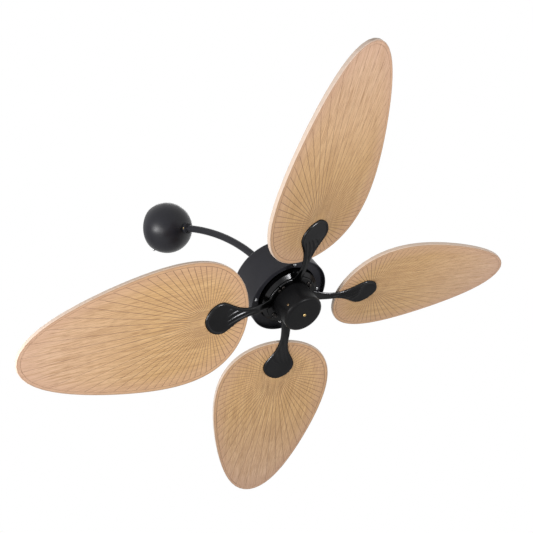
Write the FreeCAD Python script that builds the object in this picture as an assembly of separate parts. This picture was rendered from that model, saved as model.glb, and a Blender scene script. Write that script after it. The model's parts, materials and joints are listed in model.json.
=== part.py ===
import FreeCAD, Part
import math
import os
from FreeCAD import Placement, Rotation, Vector

# Wall fan with leaf-shaped blades: a ball canopy on the wall, a bent arm, a motor in a plain can and a
# spinning rotor. Millimetres and degrees. Origin on the wall behind the ball, Y into the wall, Z up.

# Fan as a whole
sweep_radius = 660.0            # fan axis to blade tip
fan_tilt = 38.0                 # fan axis below the horizontal
blade_count = 4
rest_angle = 42.2               # first blade, from sideways toward up
blade_pitch = 12.0
blade_rise = 3.0                # tips lean forward of the blade plane

# Blade: an egg-shaped leaf with a border groove and veins that fan out from the iron
blade_root_r = 125.0
blade_width = 305.0
blade_thickness = 10.0
blade_edge_round = 2.0
leaf_fullness = 0.93            # width along the middle, as a part of the full width
leaf_taper = 0.33               # how much fuller the root end is than the tip
leaf_swell = 0.16               # how much fuller both ends are than the middle
leaf_points = 24                # points on the outline
border_inset = 8.0
border_width = 1.4
border_depth = 0.9
vein_count = 64
vein_width = 1.8
vein_depth = 0.8
vein_crowding = 0.27            # how much closer the veins stand toward the tip
vein_centre_r = 228.0
heart_r = 14.0                  # round hollow under the iron's tip, where the veins meet
heart_depth = 0.4
vein_lap = 2.0                  # veins start this far inside the hollow
vein_start_scale = 0.3          # vein's size at its inner end
halvings = 40                   # steps in finding a vein's length

# Blade iron: an arc foot on the drum, a rising neck and a leaf on the blade's front
iron_thickness = 5.5
iron_leaf_tip_r = 241.0
iron_leaf_width = 80.0
iron_neck_width = 22.0
iron_root_width = 30.0          # neck's width where it leaves the foot
iron_root_thickness = 3.5
iron_root_setback = 1.5         # neck's start, out from the foot's inner edge
iron_edge_round = 2.2
spoon_r = 205.0                 # middle of the dish in the iron's leaf
spoon_dish_r = 30.0
spoon_dish = 1.5
iron_lap = 9.0                  # iron leaf's start ahead of the blade root
neck_stations = (0.0, 0.15, 0.35, 0.6, 1.0)
flute_count = 4
flute_radius = 5.0
flute_depth = 1.3
flute_lead = 16.0               # first flute's start, from the iron leaf's start
flute_step = 21.0               # each next flute starts this much further out
flute_side = 1.0                # first flute's start, sideways
flute_side_step = 7.5
flute_end_back = 50.0           # flutes' ends, from the iron leaf's tip
flute_end_side = 21.0
flute_end_step = 10.0
foot_thickness = 5.0
foot_half_angle = 43.6
foot_inner_r = 51.0
foot_setback = 0.5              # in from the edge of the drum's front face
foot_round = 3.0
foot_screw_r = 55.5
foot_screw_angle = 39.0
foot_screw_bite = 5.4

# Rotor
drum_r = 75.0
drum_face_z = -11.0             # front of the drum, along the fan axis from the blade plane
drum_show = 19.0                # drum length that stands out of the front plate
drum_bevel_width = 9.0
drum_bevel_height = 6.3
rotor_length = 73.0
bell_wall = 4.5
front_disc = 6.0
rear_disc = 4.0
bell_screw_count = 4
bell_screw_length = 46.0
rotor_ring_wall = 12.0
rotor_ring_height = 32.0
air_gap = 0.5

# Stator and shaft
shaft_r = 8.5
shaft_bore_r = 5.0
stator_height = 28.0
stator_hub_r = 30.0
tooth_count = 12
tooth_width = 7.0
tooth_tip = 4.0
tooth_tip_angle = 24.0
tooth_lap = 1.0                 # tooth's run into the hub and into its tip
coil_side = 3.5
coil_round = 2.4
coil_overhang = 4.5
coil_clear = 2.0

# Ball bearings
bearing_r = 20.0
bearing_width = 12.0
race_wall = 2.9
race_clear = 0.05
ball_count = 8
bearing_boss_wall = 5.0
bearing_lip = 4.0
bearing_lip_depth = 2.0
rear_bearing_show = 4.0         # bearing's length behind the rotor

# Motor can and its front plate
can_r = 102.0
can_wall = 2.0
can_length = 92.5
can_round = 3.5
rim_lead = 10.5                 # rim ahead of the front plate
rim_round = 0.8
plate_thickness = 1.6
plate_gap = 3.0                 # around the drum
plate_fit = 0.4
plate_screw_r = 87.0
plate_screw_bite = 8.0
ear_width = 16.0
ear_depth = 10.0
ear_reach = 20.0

# Arm
tube_r = 9.5
tube_wall = 2.0
bend_radius = 570.0
bend_start = 40.0               # from the ball's centre
bend_end_z = -121.5             # end of the bend, along the fan axis
tube_rear = 10.0                # tube end from the wall
swivel_fit = 0.05

# Motor coupling
coupling_r = 17.0
coupling_length = 29.0
coupling_flange_r = 40.0
coupling_flange = 4.0
coupling_screw_r = 31.0
coupling_screw_count = 4
coupling_screw_start = 45.0
tube_grip = 16.0
pin_r = 2.0
pin_setback = 5.0

# Ball canopy and collar
canopy_r = 71.5
canopy_wall = 2.0
canopy_centre = 31.0            # ball centre from the wall
canopy_hole_r = 12.0
canopy_screw_z = 12.0
collar_r = 15.0
collar_length = 9.0
collar_step_r = 12.2
collar_step = 2.5
collar_gap = 0.4                # collar to ball
collar_round = 1.0
collar_fit = 0.15               # around the bent tube
set_screw_angle = 205.0

# Wall plate and arm socket
wall_plate_thickness = 4.0
tab_thickness = 3.0
tab_width = 14.0
tab_height = 18.0
tab_gap = 0.7
mount_pcd = 90.0
mount_hole_r = 3.0
mount_count = 4
mount_start = 45.0              # first mounting hole, from sideways
cable_hole_r = 8.0
cable_hole_x = 40.0
grommet_wall = 2.5
grommet_lip = 2.0
socket_r = 15.5
socket_flange_r = 26.0
socket_flange = 5.0
socket_screw_r = 21.0
socket_screw_count = 4
socket_screw_clear = 1.0        # screw ends short of the wall
socket_cavity_r = 13.0
socket_shoulder = 18.0          # from the wall
socket_lead = 5.0               # socket ends this far short of the bend
window_width = 8.0
window_lead = 5.0               # window ends short of the shoulder
ring_r = 12.4
ring_thickness = 1.5
ring_groove = 0.9
ring_gap = 6.0
washer_thickness = 2.0
washer_gap = 0.1
terminal_length = 28.0
terminal_width = 14.0
terminal_height = 11.0
terminal_x = -41.0
terminal_pitch = 8.0
terminal_hole_r = 2.0

# Switch cap
cap_r = 49.5
cap_wall = 1.5
cap_height = 57.0
cap_round = 8.0
cap_gap = 2.0                   # cap's bracket ahead of the iron feet
cap_skirt = 5.5                 # cap's wall behind its bracket, inside the iron feet
cap_screw_z = 40.0              # from the cap's bracket
cap_screw_angle = 190.0
cap_screw_count = 3
cap_screw_length = 6.0
bracket_thickness = 2.0
bracket_gap = 0.9
bracket_tab_width = 14.0
bracket_tab_length = 46.0
nut_flats = 24.0
nut_height = 6.0
shaft_lead = 14.0               # shaft's end ahead of the cap's bracket
capacitor_size = (18.0, 40.0, 28.0)
capacitor_x = 26.0
capacitor_round = 2.0
plug_head_r = 3.8
plug_head = 2.0
plug_shank_r = 2.5
plug_length = 7.0
plug_nut_flats = 8.0
plug_nut_height = 3.0

# Screws: thread radius, head radius and head height
small_screw = (1.5, 2.8, 1.8)
machine_screw = (2.0, 4.0, 2.6)
blade_screw = (2.5, 4.6, 2.8)
screw_slot = 0.9
screw_slot_share = 0.6          # slot's length, as a part of the head's width
screw_round_share = 0.6         # head's round, as a part of its height
screw_hole_clear = 0.2
blade_screw_spots = ((165.0, 0.0), (205.0, 24.0), (205.0, -24.0))
blade_screw_bite = 3.2
blade_washer_r = 6.0
blade_washer = 1.0

# Places that follow from the sizes above
plate_front_z = drum_face_z - drum_show
plate_back_z = plate_front_z - plate_thickness
can_front_z = plate_front_z + rim_lead
can_rear_z = can_front_z - can_length
can_inner_r = can_r - can_wall
rotor_rear_z = drum_face_z - rotor_length
cavity_front_z = drum_face_z - front_disc
cavity_rear_z = rotor_rear_z + rear_disc
motor_mid_z = (cavity_front_z + cavity_rear_z) / 2
bell_inner_r = drum_r - bell_wall
ring_inner_r = bell_inner_r - rotor_ring_wall
stator_r = ring_inner_r - air_gap
front_bearing_z = cavity_front_z - bearing_width
rear_bearing_z = rotor_rear_z - rear_bearing_show
foot_top_z = drum_face_z + foot_thickness
drum_face_r = drum_r - drum_bevel_width
foot_outer_r = drum_face_r - foot_setback
cap_base_z = foot_top_z + cap_gap
cap_front_z = cap_base_z + cap_height
shaft_front_z = cap_base_z + shaft_lead
coupling_rear_z = bend_end_z + swivel_fit
coupling_front_z = coupling_rear_z + coupling_length
tube_front_z = coupling_rear_z + tube_grip
bend_start_z = canopy_centre + bend_start
canopy_inner_r = canopy_r - canopy_wall
rim_inner_r = math.sqrt(canopy_inner_r ** 2 - canopy_centre ** 2)
tab_outer = math.sqrt((rim_inner_r - tab_gap) ** 2 - (tab_width / 2) ** 2)
wall_plate_r = tab_outer - tab_thickness
socket_front = bend_start_z - socket_lead
blade_angles = [rest_angle + 360.0 * i / blade_count for i in range(blade_count)]

ORIGIN = Vector(0, 0, 0)
AXIS_X = Vector(1, 0, 0)
AXIS_Y = Vector(0, 1, 0)
AXIS_Z = Vector(0, 0, 1)

# Wall frame: Z out of the wall, Y up. Fan frame: Z along the fan axis toward the room, blade plane at 0.
wall_frame = Placement(ORIGIN, Rotation(AXIS_X, 90))


def bend_frame(angle):
    """Frame on the arm's centre line, so many degrees into the bend, in the wall frame."""
    turn = math.radians(angle)
    place = Vector(0, bend_radius * (math.cos(turn) - 1), bend_start_z + bend_radius * math.sin(turn))
    return Placement(place, Rotation(AXIS_X, angle))


fan_frame = wall_frame * bend_frame(fan_tilt) * Placement(Vector(0, 0, -bend_end_z), Rotation())


def blade_frame(angle):
    """Blade frame in the fan frame: X out along the blade, Z out of its front face."""
    lean = Rotation(AXIS_Y, -blade_rise) * Rotation(AXIS_X, blade_pitch)
    return Placement(ORIGIN, Rotation(AXIS_Z, angle) * lean)


# Small tools
def cylinder(r, z0, z1, x=0.0, y=0.0):
    return Part.makeCylinder(r, z1 - z0, Vector(x, y, z0))


def tube(r_in, r_out, z0, z1):
    return cylinder(r_out, z0, z1).cut(cylinder(r_in, z0, z1))


def block(x0, x1, y0, y1, z0, z1):
    return Part.makeBox(x1 - x0, y1 - y0, z1 - z0, Vector(x0, y0, z0))


def polar(r, angle, z=0.0):
    return Vector(r * math.cos(math.radians(angle)), r * math.sin(math.radians(angle)), z)


def moved(shape, frame):
    copy = shape.copy()
    copy.Placement = frame * copy.Placement
    return copy


def spun(shape, angle):
    return moved(shape, Placement(ORIGIN, Rotation(AXIS_Z, angle)))


def ring_angles(count, start=0.0):
    return [start + 360.0 * i / count for i in range(count)]


def ring_of(shape, count, start=0.0):
    return [spun(shape, angle) for angle in ring_angles(count, start)]


def joined(shapes):
    return shapes[0].fuse(shapes[1:]).removeSplitter()


def rounded_rim(shape, r, z, radius):
    """Round the circular edge of radius r at height z."""
    rims = [e for e in shape.Edges if isinstance(e.Curve, Part.Circle)
            and abs(e.Curve.Radius - r) < 1e-6 and abs(e.Curve.Center.z - z) < 1e-6]
    return shape.makeFillet(radius, rims)


def sector(r0, r1, z0, z1, angle):
    """Piece of a ring that lies evenly on both sides of the X axis."""
    corners = [Vector(r0, 0, z0), Vector(r1, 0, z0), Vector(r1, 0, z1), Vector(r0, 0, z1)]
    ring = Part.Face(Part.makePolygon(corners + corners[:1])).revolve(ORIGIN, AXIS_Z, angle)
    return spun(ring, -angle / 2)


def hex_prism(flats, z0, z1):
    corner = flats / math.sqrt(3)
    points = [polar(corner, angle, z0) for angle in ring_angles(6)]
    face = Part.Face(Part.makePolygon(points + points[:1]))
    return face.extrude(Vector(0, 0, z1 - z0))


def screw(kind, length):
    """Pan-head screw with a cross recess: thread below Z 0, head above it."""
    thread_r, head_r, head_h = kind
    head = rounded_rim(cylinder(head_r, 0, head_h), head_r, head_h, head_h * screw_round_share)
    reach = head_r * screw_slot_share
    arm = block(-reach, reach, -screw_slot / 2, screw_slot / 2, head_h / 2, head_h)
    recess = arm.fuse(spun(arm, 90))
    return head.cut(recess).fuse(cylinder(thread_r, -length, 0)).removeSplitter()


def screw_at(kind, length, place, direction):
    return moved(screw(kind, length), Placement(place, Rotation(AXIS_Z, direction)))


def hole_r(kind):
    return kind[0] + screw_hole_clear


# Wall side, in the wall frame
def wall_plate():
    plate = cylinder(wall_plate_r, 0, wall_plate_thickness)
    tab = block(-tab_width / 2, tab_width / 2, 0, tab_outer, 0, wall_plate_thickness).fuse(
        block(-tab_width / 2, tab_width / 2, tab_outer - tab_thickness, tab_outer, 0, tab_height))
    tab = tab.cut(tab_bore(machine_screw[0]))
    plate = joined([plate, tab, spun(tab, 180)])
    holes = ring_of(cylinder(mount_hole_r, 0, wall_plate_thickness, mount_pcd / 2), mount_count, mount_start)
    thread = cylinder(machine_screw[0], 0, wall_plate_thickness, socket_screw_r)
    holes += ring_of(thread, socket_screw_count)
    holes.append(cylinder(cable_hole_r, 0, wall_plate_thickness, cable_hole_x))
    return plate.cut(holes)


def tab_bore(r):
    return Part.makeCylinder(r, canopy_r, Vector(0, tab_outer - tab_thickness, canopy_screw_z), AXIS_Y)


def canopy_ball():
    centre = Vector(0, 0, canopy_centre)
    shell = Part.makeSphere(canopy_r, centre).cut(Part.makeSphere(canopy_inner_r, centre))
    shell = shell.cut(block(-canopy_r, canopy_r, -canopy_r, canopy_r, -canopy_r, 0))
    screw_bore = tab_bore(hole_r(machine_screw))
    return shell.cut([cylinder(canopy_hole_r, canopy_centre, canopy_centre + canopy_r),
                      screw_bore, spun(screw_bore, 180)])


def canopy_screws():
    face = math.sqrt(canopy_r ** 2 - (canopy_centre - canopy_screw_z - machine_screw[1]) ** 2)
    one = screw_at(machine_screw, face - tab_outer + tab_thickness, Vector(0, face, canopy_screw_z), AXIS_Y)
    return Part.makeCompound([one, spun(one, 180)])


def arm_socket():
    foot = wall_plate_thickness
    flange_top = foot + socket_flange
    body = cylinder(socket_r, foot, socket_front).fuse(cylinder(socket_flange_r, foot, flange_top))
    window_end = socket_shoulder - window_lead
    window = block(0, socket_r, -window_width / 2, window_width / 2, flange_top, window_end)
    cuts = [cylinder(socket_cavity_r, foot, socket_shoulder), window,
            cylinder(tube_r + swivel_fit, socket_shoulder, socket_front)]
    hole = cylinder(hole_r(machine_screw), foot, flange_top, socket_screw_r)
    cuts += ring_of(hole, socket_screw_count)
    return body.cut(cuts).removeSplitter()


def socket_screws():
    top = wall_plate_thickness + socket_flange
    length = top - socket_screw_clear
    return Part.makeCompound([screw_at(machine_screw, length, polar(socket_screw_r, angle, top), AXIS_Z)
                              for angle in ring_angles(socket_screw_count)])


def cable_grommet():
    lip_z = wall_plate_thickness
    top = lip_z + grommet_lip
    body = cylinder(cable_hole_r, 0, lip_z).fuse(cylinder(cable_hole_r + grommet_lip, lip_z, top))
    body = body.cut(cylinder(cable_hole_r - grommet_wall, 0, top))
    return moved(body, Placement(Vector(cable_hole_x, 0, 0), Rotation()))


def terminal_rows():
    return [row * terminal_pitch for row in (-1, 0, 1)]


def terminal_block():
    base = wall_plate_thickness
    left, right = terminal_x - terminal_width / 2, terminal_x + terminal_width / 2
    body = block(left, right, -terminal_length / 2, terminal_length / 2, base, base + terminal_height)
    cuts = []
    for y in terminal_rows():
        mid = base + terminal_height / 2
        cuts.append(Part.makeCylinder(terminal_hole_r, terminal_width, Vector(left, y, mid), AXIS_X))
        cuts.append(cylinder(small_screw[0], mid, base + terminal_height, terminal_x, y))
    return body.cut(cuts)


def terminal_screws():
    top = wall_plate_thickness + terminal_height
    return Part.makeCompound([screw_at(small_screw, terminal_height / 2 - terminal_hole_r / 2,
                                       Vector(terminal_x, y, top), AXIS_Z) for y in terminal_rows()])


# Arm, in the wall frame
def arm_tube():
    rings = [Part.Wire(Part.makeCircle(r, Vector(0, 0, bend_start_z))) for r in (tube_r, tube_r - tube_wall)]
    bend = Part.Face(rings).revolve(Vector(0, -bend_radius, bend_start_z), AXIS_X, fan_tilt)
    rear = tube(tube_r - tube_wall, tube_r, tube_rear, bend_start_z)
    front = moved(tube(tube_r - tube_wall, tube_r, 0, tube_front_z - bend_end_z), bend_frame(fan_tilt))
    groove_z = socket_shoulder - washer_gap - washer_thickness
    groove = tube(tube_r - ring_groove, ring_r, groove_z - ring_thickness, groove_z)
    pin = moved(coupling_pin(tube_pin_z()), wall_frame.inverse() * fan_frame)
    return joined([bend, rear, front]).cut([groove, pin])


def retaining_ring():
    top = socket_shoulder - washer_gap - washer_thickness
    ring = tube(tube_r - ring_groove, ring_r, top - ring_thickness, top)
    return ring.cut(block(0, ring_r, -ring_gap / 2, ring_gap / 2, top - ring_thickness, top))


def friction_washer():
    top = socket_shoulder - washer_gap
    return tube(tube_r, ring_r, top - washer_thickness, top)


def collar_frame():
    """Frame on the arm where the collar's back meets the ball."""
    return bend_frame(math.degrees((canopy_centre + canopy_r - bend_start_z) / bend_radius))


def arm_collar():
    body = cylinder(collar_r, -canopy_wall, collar_length).fuse(
        cylinder(collar_step_r, collar_length, collar_length + collar_step))
    body = rounded_rim(body, collar_r, collar_length, collar_round)
    body = rounded_rim(body, collar_step_r, collar_length + collar_step, collar_round)
    bore = cylinder(tube_r + collar_fit, -canopy_wall, collar_length + collar_step)
    body = body.cut([bore, set_screw_body()])
    ball = Part.makeSphere(canopy_r + collar_gap, Vector(0, 0, canopy_centre))
    return moved(body, collar_frame()).cut(ball)


def set_screw_body():
    start = polar(tube_r + collar_fit, set_screw_angle, collar_length / 2)
    length = collar_r + collar_round - tube_r
    return Part.makeCylinder(machine_screw[0], length, start, polar(1, set_screw_angle))


def collar_set_screw():
    outer = polar(collar_r + collar_round, set_screw_angle, collar_length / 2)
    socket = hex_prism(machine_screw[0], -2 * collar_round, 0)
    socket = moved(socket, Placement(outer, Rotation(AXIS_Z, polar(1, set_screw_angle))))
    return moved(set_screw_body().cut(socket), collar_frame())


# Motor, in the fan frame
def tube_pin_z():
    return coupling_rear_z + pin_setback


def shaft_pin_z():
    return coupling_front_z - pin_setback


def coupling_pin(z):
    return Part.makeCylinder(pin_r, 2 * coupling_r, Vector(-coupling_r, 0, z), AXIS_X)


def coupling_pins():
    return Part.makeCompound([coupling_pin(tube_pin_z()), coupling_pin(shaft_pin_z())])


def motor_coupling():
    inside = can_rear_z + can_wall
    body = cylinder(coupling_r, coupling_rear_z, coupling_front_z)
    body = body.fuse(cylinder(coupling_flange_r, inside, inside + coupling_flange))
    cuts = [cylinder(tube_r, coupling_rear_z, tube_front_z),
            cylinder(shaft_r, tube_front_z, coupling_front_z),
            coupling_pin(tube_pin_z()), coupling_pin(shaft_pin_z())]
    thread = cylinder(machine_screw[0], inside, inside + coupling_flange, coupling_screw_r)
    cuts += ring_of(thread, coupling_screw_count, coupling_screw_start)
    return body.cut(cuts).removeSplitter()


def coupling_screws():
    back = Vector(0, 0, -1)
    return Part.makeCompound([screw_at(machine_screw, can_wall + coupling_flange,
                                       polar(coupling_screw_r, angle, can_rear_z), back)
                              for angle in ring_angles(coupling_screw_count, coupling_screw_start)])


def motor_can():
    body = rounded_rim(cylinder(can_r, can_rear_z, can_front_z), can_r, can_rear_z, can_round)
    body = rounded_rim(body, can_r, can_front_z, rim_round)
    hollow = cylinder(can_inner_r, can_rear_z + can_wall, can_front_z)
    body = body.cut(rounded_rim(hollow, can_inner_r, can_rear_z + can_wall, can_round - can_wall))
    ear = block(can_inner_r - ear_reach, can_inner_r + can_wall / 2, -ear_width / 2, ear_width / 2,
                plate_back_z - ear_depth, plate_back_z)
    ear = ear.cut(cylinder(machine_screw[0], plate_back_z - ear_depth, plate_back_z, plate_screw_r))
    body = joined([body] + [spun(ear, angle) for angle in blade_angles])
    cuts = [cylinder(coupling_r + swivel_fit, can_rear_z, can_rear_z + can_wall)]
    hole = cylinder(hole_r(machine_screw), can_rear_z, can_rear_z + can_wall, coupling_screw_r)
    cuts += ring_of(hole, coupling_screw_count, coupling_screw_start)
    return body.cut(cuts)


def front_plate():
    plate = tube(drum_r + plate_gap, can_inner_r - plate_fit, plate_back_z, plate_front_z)
    hole = cylinder(hole_r(machine_screw), plate_back_z, plate_front_z, plate_screw_r)
    return plate.cut([spun(hole, angle) for angle in blade_angles])


def plate_screws():
    length = plate_thickness + plate_screw_bite
    spots = [polar(plate_screw_r, angle, plate_front_z) for angle in blade_angles]
    return Part.makeCompound([screw_at(machine_screw, length, spot, AXIS_Z) for spot in spots])


def motor_shaft():
    shaft = tube(shaft_bore_r, shaft_r, tube_front_z, shaft_front_z)
    return shaft.cut(coupling_pin(shaft_pin_z()))


def stator_span():
    return motor_mid_z - stator_height / 2, motor_mid_z + stator_height / 2


def stator_core():
    low, high = stator_span()
    tip_inner = stator_r - tooth_tip
    inner, outer = stator_hub_r - tooth_lap, tip_inner + tooth_lap
    bar = block(inner, outer, -tooth_width / 2, tooth_width / 2, low, high)
    tip = sector(tip_inner, stator_r, low, high, tooth_tip_angle)
    tooth = bar.fuse(tip)
    return joined([tube(shaft_r, stator_hub_r, low, high)] + ring_of(tooth, tooth_count))


def stator_windings():
    low, high = stator_span()
    inner, outer = stator_hub_r + coil_clear, stator_r - tooth_tip - coil_clear
    half = tooth_width / 2
    coil = block(inner, outer, -half - coil_side, half + coil_side, low - coil_overhang, high + coil_overhang)
    coil = coil.cut(block(inner, outer, -half, half, low, high))
    long_edges = [e for e in coil.Edges if abs(e.Length - (outer - inner)) < 1e-6
                  and abs(abs(e.CenterOfMass.y) - half - coil_side) < 1e-6]
    return Part.makeCompound(ring_of(coil.makeFillet(coil_round, long_edges), tooth_count))


# Bearings, in the fan frame
def inner_race(z):
    return tube(shaft_r, shaft_r + race_wall, z, z + bearing_width)


def outer_race(z):
    return tube(bearing_r - race_wall, bearing_r, z, z + bearing_width)


def bearing_balls():
    inner, outer = shaft_r + race_wall + race_clear, bearing_r - race_wall - race_clear
    balls = []
    for z in (rear_bearing_z, front_bearing_z):
        ball = Part.makeSphere((outer - inner) / 2, Vector((inner + outer) / 2, 0, z + bearing_width / 2))
        balls += ring_of(ball, ball_count)
    return Part.makeCompound(balls)


# Rotor, in the fan frame
def bell_screw_holes():
    thread = cylinder(small_screw[0], rotor_rear_z, rotor_rear_z + bell_screw_length, drum_r - bell_wall / 2)
    return ring_of(thread, bell_screw_count, rest_angle)


def rotor_rear_bell():
    boss_r = bearing_r + bearing_boss_wall
    boss_front = rear_bearing_z + bearing_width + bearing_lip_depth
    bell = cylinder(drum_r, rotor_rear_z, motor_mid_z).cut(cylinder(bell_inner_r, cavity_rear_z, motor_mid_z))
    bell = bell.fuse(cylinder(boss_r, rear_bearing_z, boss_front))
    cuts = [cylinder(bearing_r, rear_bearing_z, rear_bearing_z + bearing_width),
            cylinder(bearing_r - bearing_lip, rear_bearing_z, boss_front)]
    return bell.cut(cuts + bell_screw_holes()).removeSplitter()


def rotor_front_bell():
    boss_r = bearing_r + bearing_boss_wall
    bevel_z = drum_face_z - drum_bevel_height
    bevel = Part.makeCone(drum_r, drum_face_r, drum_bevel_height, Vector(0, 0, bevel_z))
    bell = cylinder(drum_r, motor_mid_z, bevel_z).fuse(bevel)
    bell = bell.cut(cylinder(bell_inner_r, motor_mid_z, cavity_front_z))
    bell = bell.fuse(cylinder(boss_r, front_bearing_z, cavity_front_z))
    cuts = [cylinder(bearing_r, front_bearing_z, cavity_front_z),
            cylinder(bearing_r - bearing_lip, front_bearing_z, drum_face_z)]
    thread = cylinder(machine_screw[0], drum_face_z - foot_screw_bite, drum_face_z, foot_screw_r)
    cuts += [spun(thread, angle) for angle in foot_screw_angles()]
    return bell.cut(cuts + bell_screw_holes()).removeSplitter()


def rotor_ring():
    half = rotor_ring_height / 2
    return tube(ring_inner_r, bell_inner_r, motor_mid_z - half, motor_mid_z + half)


def bell_screws():
    back = Vector(0, 0, -1)
    return Part.makeCompound([screw_at(small_screw, bell_screw_length,
                                       polar(drum_r - bell_wall / 2, angle, rotor_rear_z), back)
                              for angle in ring_angles(bell_screw_count, rest_angle)])


def foot_screw_angles():
    return [angle + side * foot_screw_angle for angle in blade_angles for side in (-1, 1)]


def iron_screws():
    length = foot_thickness + foot_screw_bite
    return Part.makeCompound([screw_at(machine_screw, length, polar(foot_screw_r, angle, foot_top_z), AXIS_Z)
                              for angle in foot_screw_angles()])


# Blade and its iron, both with the blade along X
def leaf_point(turn, inset, z=0.0):
    """Point on the egg-shaped outline, fuller toward the root: 0 is the root and 180 the tip."""
    root, tip = blade_root_r + inset, sweep_radius - inset
    lean = math.cos(math.radians(turn))
    fullness = leaf_fullness + leaf_taper * lean + leaf_swell * lean ** 2
    half = (blade_width / 2 - inset) * math.sin(math.radians(turn)) * fullness
    return Vector(root + (tip - root) * (1 - lean) / 2, half, z)


def leaf_slab(inset, z0, z1):
    curve = Part.BSplineCurve()
    curve.interpolate([leaf_point(turn, inset, z0) for turn in ring_angles(leaf_points)], True)
    return Part.Face(Part.Wire(curve.toShape())).extrude(Vector(0, 0, z1 - z0))


def blade_screw_bores(r, z0, z1):
    return [cylinder(r, z0, z1, x, y) for x, y in blade_screw_spots]


def vein_angles():
    """Directions of the veins around the vein centre, closer together toward the tip."""
    even = ring_angles(vein_count, 180.0 / vein_count)
    return [angle - math.degrees(vein_crowding * math.sin(math.radians(angle))) for angle in even]


def vein_reach(angle):
    """Distance from the vein centre to the middle of the border groove, found by halving."""
    inset = border_inset + border_width / 2
    centre = Vector(vein_centre_r, 0, 0)
    side = abs((angle + 180) % 360 - 180)
    low, high = 0.0, 180.0
    for halving in range(halvings):
        turn = (low + high) / 2
        spot = leaf_point(turn, inset) - centre
        if math.degrees(math.atan2(spot.y, spot.x)) > side:
            low = turn
        else:
            high = turn
    return (leaf_point(low, inset) - centre).Length


def vein_cutter(angle):
    """V-shaped bar that widens from the vein centre to the border, with its edge down in the front."""
    ends = []
    for distance, scale in ((heart_r - vein_lap, vein_start_scale), (vein_reach(angle), 1.0)):
        half = vein_width / 2 * scale
        corners = [Vector(distance, -half, 0), Vector(distance, half, 0),
                   Vector(distance, 0, -vein_depth * scale)]
        ends.append(Part.makePolygon(corners + corners[:1]))
    bar = Part.makeLoft(ends, True, True)
    return moved(bar, Placement(Vector(vein_centre_r, 0, 0), Rotation(AXIS_Z, angle)))


def blade():
    slab = leaf_slab(0, -blade_thickness, 0)
    slab = slab.makeFillet(blade_edge_round, [e for e in slab.Edges if abs(e.BoundBox.ZLength) < 1e-6])
    inside = leaf_slab(border_inset + border_width, -border_depth, 0)
    border = leaf_slab(border_inset, -border_depth, 0).cut(inside)
    heart = cylinder(heart_r, -heart_depth, 0, vein_centre_r)
    veins = Part.makeCompound([vein_cutter(angle) for angle in vein_angles()])
    bores = blade_screw_bores(hole_r(blade_screw), -blade_thickness, 0)
    return slab.cut(bores).cut(border).cut(heart).cut(veins)


def iron_leaf():
    start, length = blade_root_r - iron_lap, iron_leaf_tip_r - blade_root_r + iron_lap
    neck, half = iron_neck_width / 2, iron_leaf_width / 2
    shape = ((0.27, 0.30), (0.55, 0.86), (0.66, 1.0), (0.79, 0.88), (0.92, 0.45))
    side = [Vector(start, neck, 0)]
    side += [Vector(start + length * along, neck + (half - neck) * part, 0) for along, part in shape]
    points = side + [Vector(iron_leaf_tip_r, 0, 0)] + [Vector(p.x, -p.y, 0) for p in reversed(side)]
    curve = Part.BSplineCurve()
    curve.interpolate(points, InitialTangent=AXIS_X, FinalTangent=-AXIS_X)
    outline = Part.Wire([curve.toShape(), Part.makeLine(points[-1], points[0])])
    leaf = Part.Face(outline).extrude(Vector(0, 0, iron_thickness))
    rim = [e for e in leaf.Edges
           if abs(e.CenterOfMass.z - iron_thickness) < 1e-6 and e.BoundBox.XLength > iron_lap]
    return leaf.makeFillet(iron_edge_round, rim)


def flute_cutters():
    """Rods that run from the neck's edge across to the other side of the iron's leaf, fading out there."""
    start_x, end_x = blade_root_r - iron_lap + flute_lead, iron_leaf_tip_r - flute_end_back
    height = iron_thickness + flute_radius
    rods = []
    for i in range(flute_count):
        start = Vector(start_x + i * flute_step, flute_side - i * flute_side_step, height - flute_depth)
        end = Vector(end_x, flute_end_side - i * flute_end_step, height)
        rods.append(Part.makeCylinder(flute_radius, (end - start).Length, start, end - start))
        rods.append(Part.makeSphere(flute_radius, start))
    return rods


def spoon_cutter():
    ball_r = (spoon_dish_r ** 2 + spoon_dish ** 2) / (2 * spoon_dish)
    return Part.makeSphere(ball_r, Vector(spoon_r, 0, iron_thickness - spoon_dish + ball_r))


def neck_section(x, z, pitch, width, thickness):
    """Section across the neck, with z at the middle of its underside."""
    half = width / 2
    corners = ((-half, 0), (half, 0), (half, thickness), (-half, thickness))
    place = Placement(Vector(x, 0, z), Rotation(AXIS_X, pitch))
    points = [place.multVec(Vector(0, y, height)) for y, height in corners]
    return Part.makePolygon(points + points[:1])


def iron_neck():
    """Loft from the foot's inner edge up to the iron leaf's plane, turning by the blade pitch on the way."""
    start, leaf_start = foot_inner_r + iron_root_setback, blade_root_r - iron_lap
    root_z = foot_top_z - iron_root_thickness
    sections = []
    for way in neck_stations:
        ease = math.sin(math.radians(90 * way))
        x = start + (leaf_start - start) * way
        leaf_z = x * math.tan(math.radians(blade_rise))
        sections.append(neck_section(x, root_z + (leaf_z - root_z) * ease, blade_pitch * ease,
                                     iron_root_width + (iron_neck_width - iron_root_width) * ease,
                                     iron_root_thickness + (iron_thickness - iron_root_thickness) * ease))
    lap_x = leaf_start + iron_lap
    lap_z = lap_x * math.tan(math.radians(blade_rise))
    sections.append(neck_section(lap_x, lap_z, blade_pitch, iron_neck_width, iron_thickness))
    return Part.makeLoft(sections, True, False)


def iron_foot():
    foot = sector(foot_inner_r, foot_outer_r, drum_face_z, foot_top_z, 2 * foot_half_angle)
    foot = rounded_rim(foot, foot_outer_r, foot_top_z, foot_round)
    hole = cylinder(hole_r(machine_screw), drum_face_z, foot_top_z, foot_screw_r)
    return foot.cut([spun(hole, -foot_screw_angle), spun(hole, foot_screw_angle)])


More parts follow.
